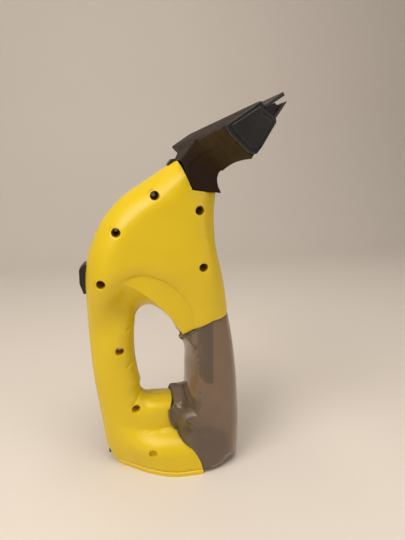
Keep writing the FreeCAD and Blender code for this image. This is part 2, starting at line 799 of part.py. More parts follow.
blade_carrier = cut("blade_carrier",
                    neck_profile("carrier_bar", [
                        (268.1, -169.1), (268.1, -161.7), (277.0, -162.5), (283.4, -164.4),
                        (283.4, -166.9), (276.0, -169.1)], 267.8),
                    neck_block("carrier_slot", (260.0, 290.0), (-168.4, -162.5), 262.0))
upper_lip = neck_profile("upper_lip", [
    (268.1, -170.9), (268.1, -169.2), (276.0, -169.2), (290.6, -165.1), (291.4, -167.3),
    (276.0, -170.9)], 267.8)
lower_lip = neck_profile("lower_lip", [
    (268.1, -161.6), (268.1, -160.1), (276.2, -160.1), (289.0, -161.8), (289.0, -162.3),
    (277.0, -162.3)], 267.8)
end_caps = []
for name, side in (("right_end_cap", -1), ("left_end_cap", 1)):
    cap = extrude(name, mouth_side_view, "sizes.end_cap_thickness")
    middle = side * (half_span - size("end_cap_thickness") / 2)
    cap.Placement = Placement(Vector(0, middle, 0), Rotation())
    end_caps.append(cap)
neck_seal = cut("neck_seal",
                neck_block("neck_seal_blank", (213.6, 216.0), (-170.3, -144.9), 46.4),
                neck_block("neck_seal_hole", (213.0, 217.0), (-168.3, -146.7), 42.6))
latch_button = neck_profile("latch_button", [
    (222.9, -180.8), (224.4, -181.6), (229.6, -181.6), (231.2, -180.2), (231.2, -177.0),
    (229.6, -174.6), (222.9, -174.6)], "sizes.latch_width")
latch_spring = neck_profile("latch_spring", [
    (223.4, -172.0), (225.8, -171.4), (231.0, -174.3), (231.0, -174.0), (225.8, -170.9),
    (223.4, -171.5)], 8.0)
document.recompute()

sub_parts = [
    right_shell, left_shell, housing_screws, power_button, power_switch, control_board,
    indicator_light, charging_socket, battery_cell, battery_tabs, motor_can, motor_end_cap,
    motor_magnets, front_bearing, rear_bearing, motor_shaft, armature, impeller, fan_housing,
    motor_plate, air_duct, return_duct, tank_shell, tank_lid, tank_seal, tank_plug, riser_pipe,
    baffle_plate, nozzle_back_shell, nozzle_front_shell, blade_carrier, upper_lip, lower_lip,
    *end_caps, neck_seal, latch_button, latch_spring,
]
failed = [item.Name for item in document.Objects if {"Invalid", "Error"} & set(item.State)]
if failed:
    raise RuntimeError(f"these objects did not compute: {failed}")
for sub_part in sub_parts:
    if sub_part.Shape.isNull() or not sub_part.Shape.isValid():
        raise RuntimeError(f"{sub_part.Label} has no valid shape")
os.makedirs("parts", exist_ok=True)
for sub_part in sub_parts:
    sub_part.Shape.exportStep(f"parts/{sub_part.Label}.step")
print(len(sub_parts), "sub-parts written")
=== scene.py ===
import json
from math import cos, radians, sin

import bmesh
import bpy
import numpy as np
from mathutils import Matrix, Vector
from mathutils.geometry import delaunay_2d_cdt


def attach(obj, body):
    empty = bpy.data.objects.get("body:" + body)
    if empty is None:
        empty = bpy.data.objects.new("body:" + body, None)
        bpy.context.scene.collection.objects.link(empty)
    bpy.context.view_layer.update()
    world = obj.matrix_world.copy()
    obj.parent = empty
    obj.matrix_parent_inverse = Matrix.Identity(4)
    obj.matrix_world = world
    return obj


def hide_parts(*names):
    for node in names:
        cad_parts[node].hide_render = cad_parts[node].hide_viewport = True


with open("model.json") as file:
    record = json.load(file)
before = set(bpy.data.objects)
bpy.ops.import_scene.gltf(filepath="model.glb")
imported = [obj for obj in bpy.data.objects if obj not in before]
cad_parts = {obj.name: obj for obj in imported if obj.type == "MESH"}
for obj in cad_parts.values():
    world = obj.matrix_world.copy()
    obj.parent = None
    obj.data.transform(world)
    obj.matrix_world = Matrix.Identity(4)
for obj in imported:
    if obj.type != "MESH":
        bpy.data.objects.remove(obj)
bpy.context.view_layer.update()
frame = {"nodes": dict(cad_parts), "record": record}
print("frame loaded", len(frame["nodes"]), "nodes")

mm = 0.001  # outlines below are side views, x forward and z up, in millimetres
scene = bpy.context.scene


# Lines and curves of the side view

def arcPoints(start, middle, end, step=1.6):
    (ax, az), (bx, bz), (cx, cz) = start, middle, end
    d = 2 * (ax * (bz - cz) + bx * (cz - az) + cx * (az - bz))
    a2, b2, c2 = ax * ax + az * az, bx * bx + bz * bz, cx * cx + cz * cz
    centre = np.array([(a2 * (bz - cz) + b2 * (cz - az) + c2 * (az - bz)) / d,
                       (a2 * (cx - bx) + b2 * (ax - cx) + c2 * (bx - ax)) / d])
    first, through, last = [np.arctan2(*(np.array(p) - centre)[::-1]) for p in (start, middle, end)]
    turn = (last - first) % (2 * np.pi)
    if (through - first) % (2 * np.pi) > turn:
        turn -= 2 * np.pi
    radius = np.hypot(*(np.array(start) - centre))
    count = max(2, int(abs(turn) * radius / step))
    angles = first + turn * np.linspace(0, 1, count + 1)
    return centre + radius * np.c_[np.cos(angles), np.sin(angles)]


def linePoints(start, end, step=1.6):
    count = max(1, int(np.hypot(end[0] - start[0], end[1] - start[1]) / step))
    return np.linspace(start, end, count + 1)


def route(*stretches, step=1.6):
    points = []
    for stretch in stretches:
        made = linePoints(*stretch, step) if len(stretch) == 2 else arcPoints(*stretch, step)
        points.extend(made if not points else made[1:])
    return np.array(points)


# Distance from each point to a path, which side of it they are on, and where along it they meet it
def reach(points, path):
    start, step = path[:-1], path[1:] - path[:-1]
    span = (step ** 2).sum(1)
    best = np.full(len(points), 1e9)
    side = np.zeros(len(points))
    along = np.zeros(len(points))
    for i in range(len(start)):
        away = points - start[i]
        t = np.clip(away @ step[i] / span[i], 0, 1)
        gap = away - t[:, None] * step[i]
        distance = np.hypot(gap[:, 0], gap[:, 1])
        nearer = distance < best
        best[nearer] = distance[nearer]
        side[nearer] = (step[i][0] * away[:, 1] - step[i][1] * away[:, 0])[nearer]
        along[nearer] = (i + t)[nearer]
    return best, np.sign(side), along


def inside(points, loop):
    result = np.zeros(len(points), bool)
    x, z = points[:, 0], points[:, 1]
    for (ax, az), (bx, bz) in zip(loop, np.roll(loop, -1, axis=0)):
        crosses = (az > z) != (bz > z)
        with np.errstate(divide="ignore", invalid="ignore"):
            result ^= crosses & (x < (bx - ax) * (z - az) / (bz - az) + ax)
    return result


def ease(value, low=0.0, high=1.0):
    t = np.clip((value - low) / (high - low), 0, 1)
    return t * t * (3 - 2 * t)


def roundOver(distance, radius, power=2.2):
    t = 1 - np.clip(distance / radius, 0, 1)
    return (1 - t ** power) ** (1 / power)


def higher(a, b, soften):
    soften = soften * np.clip(np.minimum(np.abs(a), np.abs(b)) / 10, 0.01, 1)
    blend = np.clip(soften - np.abs(a - b), 0, None)
    return np.maximum(a, b) + blend ** 2 / (4 * soften)


def lower(a, b, soften):
    return -higher(-a, -b, soften)


def beside(path, shift):
    heading = np.gradient(path, axis=0)
    return path + shift * np.c_[-heading[:, 1], heading[:, 0]] / np.hypot(*heading.T)[:, None]


# A skin over a side outline: a net of triangles whose points stand off the middle plane
def netOver(outline, holes, folds, roundEdges, pitch, rows):
    loops = [outline] + holes
    points = [p for loop in loops for p in loop]
    edges = []
    first = 0
    for loop in loops:
        edges += [(first + i, first + (i + 1) % len(loop)) for i in range(len(loop))]
        first += len(loop)
    for fold in folds:
        edges += [(first + i, first + i + 1) for i in range(len(fold) - 1)]
        points += list(fold)
        first += len(fold)
    gaps = [np.vstack([loop, loop[:1]]) for loop in loops]

    def clearance(candidates):
        return np.min([reach(candidates, gap)[0] for gap in gaps], axis=0)

    kept = []
    for path in roundEdges:
        for row in rows:
            for sign in (-1, 1):
                shifted = beside(path, sign * row)
                good = inside(shifted, outline) & (clearance(shifted) > 0.93 * row)
                kept.append(shifted[good])
    low, high = outline.min(0), outline.max(0)
    gridX, gridZ = np.meshgrid(np.arange(low[0], high[0], pitch),
                               np.arange(low[1], high[1], pitch * 0.866))
    gridX[1::2] += pitch / 2
    lattice = np.c_[gridX.ravel(), gridZ.ravel()]
    lattice = lattice[inside(lattice, outline)]
    edgeRoom = np.min([reach(lattice, path)[0] for path in roundEdges], axis=0)
    lattice = lattice[(edgeRoom > rows[-1] * 1.15) & (clearance(lattice) > 0.5 * pitch)]
    for fold in folds:
        lattice = lattice[reach(lattice, fold)[0] > 0.4 * pitch]
    kept.append(lattice)
    points += [p for group in kept for p in group]
    flat, _, triangles, *_ = delaunay_2d_cdt([Vector(p) for p in points], edges, [], 0, 1e-5)
    flat = np.array([tuple(p) for p in flat])
    triangles = np.array([t for t in triangles if len(t) == 3])
    middles = flat[triangles].mean(1)
    wanted = inside(middles, outline)
    for hole in holes:
        wanted &= ~inside(middles, hole)
    triangles = triangles[wanted]
    used = np.unique(triangles)
    renumber = np.zeros(len(flat), int)
    renumber[used] = np.arange(len(used))
    return flat[used], renumber[triangles]


# The sheet that turns in from an edge to the middle plane, with windows left open in it
def turnedIn(path, heights, side, windows=()):
    cut = [0.0] + sorted({y for _, y in windows})
    points, quads = [], []
    width = len(cut) + 6
    for (x, z), height in zip(path, heights):
        level = [min(y, 0.96 * height) for y in cut]
        level += list(np.linspace(level[-1], height, 7)[1:])
        points += [(x, side * y, z) for y in level]
    for i in range(len(path) - 1):
        middle = (path[i] + path[i + 1]) / 2
        for j in range(width - 1):
            if any(test(middle) and j < cut.index(y) for test, y in windows):
                continue
            quads.append((i * width + j, i * width + j + 1,
                          (i + 1) * width + j + 1, (i + 1) * width + j))
    return points, quads


def buildPiece(name, parts, body, replaced, material, thickness=0.0, sharp=34.0,
               outward=None):
    mesh = bpy.data.meshes.new(name)
    bm = bmesh.new()
    for points, faces in parts:
        made = [bm.verts.new(Vector(p) * mm) for p in points]
        for face in faces:
            corners = [made[i] for i in face]
            if len(set(corners)) > 2:
                bm.faces.new(corners)
    bmesh.ops.remove_doubles(bm, verts=bm.verts, dist=0.02 * mm)
    bmesh.ops.recalc_face_normals(bm, faces=bm.faces)
    if outward and sum(f.normal.dot(Vector(outward)) * f.calc_area() for f in bm.faces) < 0:
        bmesh.ops.reverse_faces(bm, faces=bm.faces)
    bm.to_mesh(mesh)
    bm.free()
    piece = bpy.data.objects.new(name, mesh)
    scene.collection.objects.link(piece)
    if thickness:
        wall = piece.modifiers.new("wall", "SOLIDIFY")
        wall.thickness = thickness * mm
        wall.offset = -1
    for polygon in mesh.polygons:
        polygon.use_smooth = True
    mesh.set_sharp_from_angle(angle=radians(sharp))
    mesh.materials.append(material)
    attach(piece, body)
    if replaced:
        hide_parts(*replaced)
    return piece


# Finishes: each is one node material with its own grain, mottling and gloss

def mix(nodes, links, kind, factor, first, second):
    node = nodes.new("ShaderNodeMix")
    node.data_type = kind
    sockets = {"FLOAT": ("Factor_Float", "A_Float", "B_Float", "Result_Float"),
               "RGBA": ("Factor_Float", "A_Color", "B_Color", "Result_Color")}[kind]
    inputs = {s.identifier: s for s in node.inputs}
    outputs = {s.identifier: s for s in node.outputs}
    links.new(factor, inputs[sockets[0]])
    inputs[sockets[1]].default_value = first
    inputs[sockets[2]].default_value = second
    return outputs[sockets[3]]


def noise(nodes, links, place, scale, detail=3.0, stretch=None):
    node = nodes.new("ShaderNodeTexNoise")
    node.inputs["Scale"].default_value = scale
    node.inputs["Detail"].default_value = detail
    if stretch:
        mapping = nodes.new("ShaderNodeMapping")
        mapping.inputs["Scale"].default_value = stretch
        links.new(place, mapping.inputs["Vector"])
        place = mapping.outputs["Vector"]
    links.new(place, node.inputs["Vector"])
    return node.outputs["Fac"]


def ramp(nodes, links, value, low, high):
    node = nodes.new("ShaderNodeMapRange")
    node.inputs["From Min"].default_value = low
    node.inputs["From Max"].default_value = high
    links.new(value, node.inputs["Value"])
    return node.outputs["Result"]


def finish(name, look):
    material = bpy.data.materials.new(name)
    material.use_nodes = True
    nodes, links = material.node_tree.nodes, material.node_tree.links
    shader = nodes["Principled BSDF"]
    place = nodes.new("ShaderNodeTexCoord").outputs["Object"]
    broad = ramp(nodes, links, noise(nodes, links, place, look.get("mottle", 30)), 0.35, 0.65)
    fine = noise(nodes, links, place, look.get("grain", 900), 2.0, look.get("brushed"))
    base, tint = look["colour"], look["tint"]
    links.new(mix(nodes, links, "RGBA", broad, (*base, 1), (*tint, 1)), shader.inputs["Base Color"])
    smooth, dull = look["gloss"]
    scuff = ramp(nodes, links, noise(nodes, links, place, look.get("scuff", 75), 5.0), 0.4, 0.72)
    links.new(mix(nodes, links, "FLOAT", scuff, smooth, dull), shader.inputs["Roughness"])
    bump = nodes.new("ShaderNodeBump")
    bump.inputs["Strength"].default_value = look.get("relief", 0.12)
    bump.inputs["Distance"].default_value = 0.0004
    links.new(fine, bump.inputs["Height"])
    links.new(bump.outputs["Normal"], shader.inputs["Normal"])
    for socket, value in look.get("set", {}).items():
        shader.inputs[socket].default_value = value
    return material


finishes = {
    "yellow_plastic": dict(colour=(0.74, 0.53, 0.006), tint=(0.70, 0.49, 0.004), gloss=(0.34, 0.44),
                           grain=1400, relief=0.08, mottle=18),
    "charcoal_plastic": dict(colour=(0.016, 0.012, 0.010), tint=(0.024, 0.019, 0.016),
                             gloss=(0.42, 0.6), grain=1100, relief=0.3,
                             set={"Specular IOR Level": 0.35}),
    "board_green": dict(colour=(0.01, 0.09, 0.03), tint=(0.03, 0.14, 0.05), gloss=(0.25, 0.4),
                        mottle=220, grain=500),
    "clear_plastic": dict(colour=(0.75, 0.9, 0.78), tint=(0.85, 0.95, 0.86), gloss=(0.1, 0.2),
                          set={"Transmission Weight": 0.8, "IOR": 1.49}),
    "cell_wrap": dict(colour=(0.02, 0.10, 0.30), tint=(0.03, 0.13, 0.36), gloss=(0.2, 0.35),
                      mottle=60),
    "nickel": dict(colour=(0.66, 0.62, 0.55), tint=(0.58, 0.55, 0.5), gloss=(0.2, 0.38),
                   brushed=(1, 12, 1), set={"Metallic": 1.0}),
    "steel": dict(colour=(0.52, 0.52, 0.53), tint=(0.42, 0.42, 0.42), gloss=(0.25, 0.45),
                  brushed=(1, 10, 1), grain=600, set={"Metallic": 1.0}),
    "magnet": dict(colour=(0.05, 0.05, 0.055), tint=(0.08, 0.08, 0.085), gloss=(0.5, 0.7),
                   set={"Metallic": 0.6}),
    "brass": dict(colour=(0.66, 0.43, 0.15), tint=(0.55, 0.36, 0.13), gloss=(0.3, 0.5), grain=1500,
                  set={"Metallic": 1.0}),
    "winding": dict(colour=(0.52, 0.19, 0.07), tint=(0.38, 0.12, 0.04), gloss=(0.3, 0.5),
                    brushed=(1, 30, 1), grain=300, relief=0.8, set={"Metallic": 0.7}),
    "grey_plastic": dict(colour=(0.10, 0.095, 0.09), tint=(0.13, 0.12, 0.11), gloss=(0.4, 0.55),
                         relief=0.25),
    "tank_plastic": dict(colour=(0.50, 0.38, 0.28), tint=(0.56, 0.44, 0.33), gloss=(0.14, 0.24),
                         mottle=14, relief=0.04,
                         set={"Transmission Weight": 0.86, "IOR": 1.45}),
    "rubber": dict(colour=(0.013, 0.012, 0.012), tint=(0.022, 0.021, 0.02), gloss=(0.45, 0.62),
                   grain=700, relief=0.2),
    "smoke_plastic": dict(colour=(0.017, 0.008, 0.005), tint=(0.024, 0.012, 0.008),
                          gloss=(0.55, 0.66), mottle=12, relief=0.05,
                          set={"Specular IOR Level": 0.14}),
    "black_plastic": dict(colour=(0.010, 0.010, 0.010), tint=(0.018, 0.017, 0.017),
                          gloss=(0.2, 0.34), relief=0.08, set={"Specular IOR Level": 0.4}),
}
materials = {slot: finish(slot, look) for slot, look in finishes.items()}
print("finishes made", len(materials))


# Yellow housing

housing = dict(
    bodyHalf=35.0, plateHalf=31.2, handleHalf=18.0, baseHalf=39.3, wall=1.9,
    backRound=28.0, loopRound=18.5, grooveDepth=1.3, rimHeight=3.9, screwRadius=4.0,
    screwFloor=7.0, screwDraft=0.12, screwBore=1.6, lipDepth=0.35, shallowDepth=2.4, baseTop=75.0,
    sternReach=63.0, creaseDepth=0.6, creaseWidth=0.55, grooveWidth=1.4, joinDepth=0.5, joinRound=0.6,
    armTopRound=8.0, exhaustRow=5.0, exhaustLow=215.2, exhaustHalf=1.2,
    pitch=2.3, rows=(0.03, 0.12, 0.35, 0.8, 1.5, 2.5, 3.8, 5.4),
)
seamTop = (16.0, 67.2)
tankRear = (22.6, 133.2)
backPath = route(((25.8, 291.2), (-10.3, 268.4)), ((-10.3, 268.4), (-30.0, 253.2), (-44.7, 233.5)),
                 ((-44.7, 233.5), (-55.0, 208.0), (-58.6, 178.0)),
                 ((-58.6, 178.0), (-58.9, 150.0), (-57.3, 93.0)),
                 ((-57.3, 93.0), (-53.6, 58.0), (-50.5, 28.4)),
                 ((-50.5, 28.4), (-47.4, 13.5), (-41.0, 0.0)))
floorPath = route(((-41.0, 0.0), (41.0, 0.0)))
seamPath = route(((41.0, 0.0), (37.5, 14.5), (30.4, 26.2)), ((30.4, 26.2), (21.0, 33.4), (14.0, 43.8)),
                 ((14.0, 43.8), (12.2, 56.0), seamTop))
loopPath = route((seamTop, (-2.0, 67.8)), ((-2.0, 67.8), (-10.8, 71.5), (-13.7, 85.8)),
                 ((-13.7, 85.8), (-17.9, 118.0), (-16.1, 146.6)),
                 ((-16.1, 146.6), (-11.2, 157.4), (-1.0, 160.6)),
                 ((-1.0, 160.6), (13.0, 150.5), tankRear))
ceilingPath = route((tankRear, (25.6, 138.0)), ((25.6, 138.0), (52.5, 149.5)),
                    ((52.5, 149.5), (71.2, 151.0)))
frontPath = route(((71.2, 151.0), (67.0, 181.0), (61.6, 205.0)),
                  ((61.6, 205.0), (58.3, 236.0), (60.5, 262.5)))
neckPath = route(((60.5, 262.5), (35.6, 266.4)), ((35.6, 266.4), (25.8, 291.2)))
archEdge = route(((27.0, 136.0), (8.5, 163.5), (-25.0, 190.3)))
creaseEdge = route(((36.5, 142.7), (23.0, 178.0), (-8.0, 195.6)),
                   ((-8.0, 195.6), (-17.7, 194.5), (-25.0, 190.8)))
creaseOn = np.vstack([creaseEdge, route(((-25.0, 190.8), (-42.0, 181.0), (-60.0, 166.0)))[1:]])
archOn = np.vstack([archEdge, [(-60.0, 214.0)]])
loopAll = np.vstack([[(29.2, 67.2)], loopPath, [(25.6, 138.0)]])
fingerGrooves = [((-15.0, 144.4), (-25.5, 140.6)), ((-14.5, 115.2), (-26.5, 103.6)),
                 ((-9.5, 80.6), (-24.5, 64.0))]
screwHoles = [(4.6, 262.3), (41.7, 249.3), (-28.6, 232.7), (44.3, 200.2), (-43.5, 189.0),
              (-31.6, 122.0), (-19.5, 62.2), (-5.8, 22.5)]


def housingHalf(points):
    x, z = points[:, 0], points[:, 1]
    backGap = reach(points, backPath)[0]
    loopGap = reach(points, loopAll)[0]
    frontGap = reach(points, frontPath)[0]
    creaseGap, creaseSide, _ = reach(points, creaseOn)
    above = -creaseGap * creaseSide
    taper = 1 - 0.125 * np.clip((197 - z) / 52, 0, 1) * ease(x, -8, 22)
    body = housing["handleHalf"] + (housing["bodyHalf"] - housing["handleHalf"]) * ease(above, -34, 13)
    rounding = roundOver(backGap, np.interp(z, (60, 160), (20, housing["backRound"])), 2.1)
    armTop = ease(x, -14, -2) * ease(z, 84, 70)
    loopRadius = np.interp(z, (138, 166), (housing["loopRound"], 31)) * (1 - armTop)
    loopRadius = loopRadius + housing["armTopRound"] * armTop
    loopPower = np.interp(z, (138, 166), (2.2, 1.35))
    loopRounding = 1 - (1 - roundOver(loopGap, loopRadius, loopPower)) * ease(-above, 0, 10)
    swept = body * taper * rounding * loopRounding
    plate = housing["plateHalf"] * taper
    archGap, archSide, _ = reach(points, archOn)
    edgeGap = reach(points, archEdge)[0]
    outer = archGap * -archSide > 0
    share = loopGap / (loopGap + edgeGap + 1e-6)
    plateHere = np.where(outer & (above < 0.5), plate, 0)
    wallHere = np.where(outer, 0, plate * np.clip(share, 0, 1) ** 0.8)
    half = higher(swept, plateHere, 0.4)
    half = higher(half, wallHere * (z > 128) * (x > -40), 1.6)
    frontRound = np.interp(z, (150, 185, 215, 240, 266), (32, 24, 19, 25, 34))
    half = half * np.where(z > 128, roundOver(frontGap, frontRound, 2.5), 1)
    neckRound = 35 - 4.0 * ease(z + 0.5 * x, 262, 300)
    half = lower(half, neckRound, 3.0)
    shoulderTop = 39 + 12 * ease(-x, 4, 40)
    stern = housing["baseHalf"] * (1 - np.clip(1 - backGap / housing["sternReach"], 0, 1) ** 1.75) ** 0.9
    dome = (1 - np.clip((z - 16) / (shoulderTop - 16), 0, 1) ** 2.7) ** (1 / 2.7)
    base = stern * dome * (1 - 0.0012 * z)
    arm = half * (1 + 0.06 * ease(x, -12, 12) * ease(z, 75, 60)) * (0.70 + 0.30 * ease(z, 10, 44))
    half = np.where(z < housing["baseTop"], higher(arm, base, 7.0), half)
    rim = 0.5 * ease(z, housing["rimHeight"] + 0.2, housing["rimHeight"] - 0.1)
    notch = 0.7 * np.exp(-((z - housing["rimHeight"] - 0.4) / 0.35) ** 2)
    half = half + (rim - notch) * (z < 8) * ease(backGap, 0, 2)
    for start, end in fingerGrooves:
        gap, _, along = reach(points, np.array([start, end]))
        depth = housing["grooveDepth"] * (1 - ease(along, 0.8, 1))
        half = half - depth * np.exp(-(gap / housing["grooveWidth"]) ** 2)
    edgeShare = reach(points, creaseEdge)[0] / housing["creaseWidth"]
    half = half - housing["creaseDepth"] * np.exp(-edgeShare ** 2)
    for path in (neckPath, ceilingPath, seamPath):
        gap = reach(points, path)[0]
        half = half - housing["joinDepth"] * (1 - roundOver(gap, housing["joinRound"], 2))
    return half


def standOff(flat, half, side):
    return [(x, side * y, z) for (x, z), y in zip(flat, half)]


outlineAll = np.vstack([backPath[:-1], floorPath[:-1], seamPath[:-1], loopPath[:-1],
                        ceilingPath[:-1], frontPath[:-1], neckPath[:-1]])
rimLines = [route(((-38.0, z), (40.5, z)), step=2.0) for z in (3.5, 4.0, 4.3, 4.6, 5.2)]


def ring(centre, radius, count=36):
    turn = np.linspace(0, 2 * np.pi, count, endpoint=False)
    return np.array(centre) + radius * np.c_[np.cos(turn), np.sin(turn)]


def recess(centre, side):
    radius, count, draft = housing["screwRadius"], 36, housing["screwDraft"]
    top = housingHalf(ring(centre, radius, count)) - housing["lipDepth"]
    deep = centre[1] > 40  # the lowest recess is only a dimple
    floor = housing["screwFloor"] if deep else top.min() - housing["shallowDepth"]
    rows = [(radius, top), (radius - draft, top - 0.6)]
    rows += [(radius - draft, top + (floor - top) * t) for t in (0.35, 0.7, 0.98)]
    rows += [(radius - 0.5, np.full(count, floor)), (housing["screwBore"], np.full(count, floor))]
    if not deep:
        rows.append((0.02, np.full(count, floor)))
    points, quads = [], []
    for radiusHere, height in rows:
        points += standOff(ring(centre, radiusHere, count), height, side)
    for i in range(len(rows) - 1):
        for j in range(count):
            k = (j + 1) % count
            quads.append((i * count + j, i * count + k, (i + 1) * count + k, (i + 1) * count + j))
    return points, quads


def ceilingWindow(point):
    return 33.2 < point[0] < 42.8 or 50.5 < point[0] < 54.4


def neckWindow(point):
    return 30.9 < point[0] < 44.9


def grooveLines():
    lines = []
    for start, end in fingerGrooves:
        heading = np.subtract(end, start) / np.hypot(*np.subtract(end, start))
        across = np.array([-heading[1], heading[0]])
        for shift in (-2.2, -1.2, -0.5, 0.0, 0.5, 1.2, 2.2):
            lines.append(linePoints(start + heading * 1.5 + across * shift, end + across * shift, 1.2))
    return lines


def housingShell(name, node, side):
    holes = [ring(c, housing["screwRadius"]) for c in screwHoles] if side < 0 else exhaustSlots()
    lips = [ring(c, housing["screwRadius"] + w) for c in screwHoles for w in (0.3, 0.9)]
    creases = [beside(creaseEdge, w)[3:-3] for w in (-1.3, -0.6, -0.3, 0.0, 0.3, 0.6, 1.3)]
    folds = rimLines + [archEdge[1:-1]] + creases + grooveLines() + (lips if side < 0 else [])
    folds = [np.vstack([f, f[:1]]) if len(f) == 36 else f for f in folds]
    flat, triangles = netOver(outlineAll, holes, folds, [backPath, loopPath, frontPath],
                              housing["pitch"], housing["rows"])
    half = housingHalf(flat)
    if side < 0:
        for centre in screwHoles:
            gap = np.abs(np.hypot(*(flat - centre).T) - housing["screwRadius"])
            half = half - housing["lipDepth"] * (1 - roundOver(gap, 0.9, 2))
    parts = [(standOff(flat, half, side), triangles)]
    if side < 0:
        parts += [recess(centre, side) for centre in screwHoles]
    for path, windows in ((floorPath, ()), (seamPath, ()),
                          (ceilingPath, ((ceilingWindow, 15.0),)),
                          (neckPath, ((neckWindow, 21.3),))):
        parts.append(turnedIn(path, housingHalf(path), side, windows))
    return buildPiece(name, parts, "housing", [node],
                      materials["yellow_plastic"], housing["wall"], outward=(0, side, 0))


def exhaustSlots():
    slots = []
    for row in range(7):
        shift = abs(row - 3)
        x, z = -12.0 + 4 * shift, housing["exhaustLow"] + housing["exhaustRow"] * row
        length, end = 34.0 - 8 * shift, housing["exhaustHalf"]
        turn = np.linspace(-np.pi / 2, np.pi / 2, 9)
        bow = end * np.c_[np.cos(turn), np.sin(turn)]
        slots.append(np.vstack([(x + length - end, z) + bow, (x + end, z) - bow]))
    return slots


rightShell = housingShell("housing_right", "right_shell", -1)
leftShell = housingShell("housing_left", "left_shell", 1)
print("housing halves", len(rightShell.data.polygons), len(leftShell.data.polygons))


# Smoked tank: its flanks follow the housing at the seam and round over to the front. The lid is let in.

tank = dict(flank=39.3, flankTop=28.4, frontRound=40.0, wall=1.8, lidDepth=3.2, pocketHalf=18.5,
            pocketFront=29.7, pocketFloor=29.0, pocketTop=65.2, earTop=67.25, earRound=8.0,
            columnHalf=9.0, columnFoot=19.0, lidWall=1.2, lidDrop=0.5, bottom=2.0, pitch=2.6,
            rows=(0.05, 0.3, 0.9, 1.8, 3.0, 4.6))
columnPath = route(((25.9, 137.6), (22.9, 133.0)), ((22.9, 133.0), (29.3, 118.0), (29.7, 100.0)),
                   ((29.7, 100.0), (29.7, 67.2)))
cheekPath = route(((29.7, 67.2), (16.5, 67.2)))
tankSeam = route(((16.5, 67.2), (12.7, 56.0), (14.5, 43.8)), ((14.5, 43.8), (21.5, 33.4), (30.9, 26.2)),
                 ((30.9, 26.2), (38.0, 14.5), (41.4, 2.0)))
tankFloor = route(((41.4, 2.0), (74.5, 2.0)))
tankFront = route(((74.5, 2.0), (79.2, 4.0), (80.5, 9.0)), ((80.5, 9.0), (81.6, 36.0), (80.6, 71.2)),
                  ((80.6, 71.2), (77.6, 112.0), (71.6, 150.4)))
tankTop = route(((71.6, 150.4), (52.5, 149.0)), ((52.5, 149.0), (25.9, 137.6)))
tankRearAll = np.vstack([columnPath, cheekPath[1:], tankSeam[1:]])


def rearHalf():
    half = housingHalf(np.c_[tankRearAll[:, 0], np.minimum(tankRearAll[:, 1], 57.0)])
    z = tankRearAll[:, 1]
    column, cheek = len(columnPath), len(columnPath) + len(cheekPath) - 1
    spread = tank["columnFoot"] - tank["columnHalf"]
    half[:column] = tank["columnHalf"] + spread * ease(-z[:column], -96, -67)
    half[column:cheek] = np.linspace(tank["columnFoot"], half[cheek], cheek - column)
    return half


rearHalves = rearHalf()


def tankHalf(points):
    x, z = points[:, 0], points[:, 1]
    gap, _, along = reach(points, tankRearAll)
    start = np.interp(along, np.arange(len(rearHalves)), rearHalves)
    rise = np.interp(along, (0, len(columnPath), len(columnPath) + 12, len(rearHalves)),
                     (3.6, 1.9, 1.1, 0.9))
    nose = np.where(along < len(columnPath) - 1, roundOver(gap, 2.6, 2), 1)
    facet = (start + rise * gap) * nose
    side = np.interp(z, (20, 150), (tank["flank"], tank["flankTop"]))
    half = lower(facet, side, 1.6) * roundOver(reach(points, tankFront)[0], tank["frontRound"], 2.5)
    half = half - 3.0 * (1 - roundOver(np.clip(z - tank["bottom"], 0, None), 4.0, 2))
    below = np.clip(tank["earTop"] - z, 0, None)
    ear = roundOver(below, tank["earRound"], 2.2) * (half - tank["pocketHalf"])
    ear = np.maximum(ear + tank["pocketHalf"], tank["pocketHalf"])
    share = ease(x, 29.7, 24) * ease(z, 56, 60)
    return np.maximum(half * (1 - share) + ear * share, 0)


tankOutline = np.vstack([columnPath[:-1], cheekPath[:-1], tankSeam[:-1], tankFloor[:-1],
                         tankFront[:-1], tankTop[:-1]])


def pocketWalls():
    half, front, floor = tank["pocketHalf"], tank["pocketFront"], tank["pocketFloor"]
    path = np.array([p for p in tankSeam if tank["pocketTop"] > p[1] > floor])
    walls = []
    for side in (-1, 1):
        points = [(x, side * half, z) for x, z in path] + [(front, side * half, z) for _, z in path]
        count = len(path)
        walls.append((points, [(i, i + 1, count + i + 1, count + i) for i in range(count - 1)]))
    heights = np.linspace(floor, tank["pocketTop"], 10)
    points = [(front, y, z) for z in heights for y in np.linspace(-half, half, 9)]
    walls.append((points, [(r * 9 + c, r * 9 + c + 1, r * 9 + c + 10, r * 9 + c + 9)
                           for r in range(9) for c in range(8)]))
    back = path[-1][0]
    points = [(x, y, floor) for x in np.linspace(back, front, 4) for y in np.linspace(-half, half, 9)]
    walls.append((points, [(r * 9 + c, r * 9 + c + 1, r * 9 + c + 10, r * 9 + c + 9)
                           for r in range(3) for c in range(8)]))
    return walls


def edgeSheet(path, halves, side, start):
    points, quads = [], []
    for (x, z), half in zip(path, halves):
        points += [(x, side * y, z) for y in np.linspace(start, half, 6)]
    for i in range(len(path) - 1):
        quads += [(i * 6 + j, i * 6 + j + 1, i * 6 + j + 7, i * 6 + j + 6) for j in range(5)]
    return points, quads


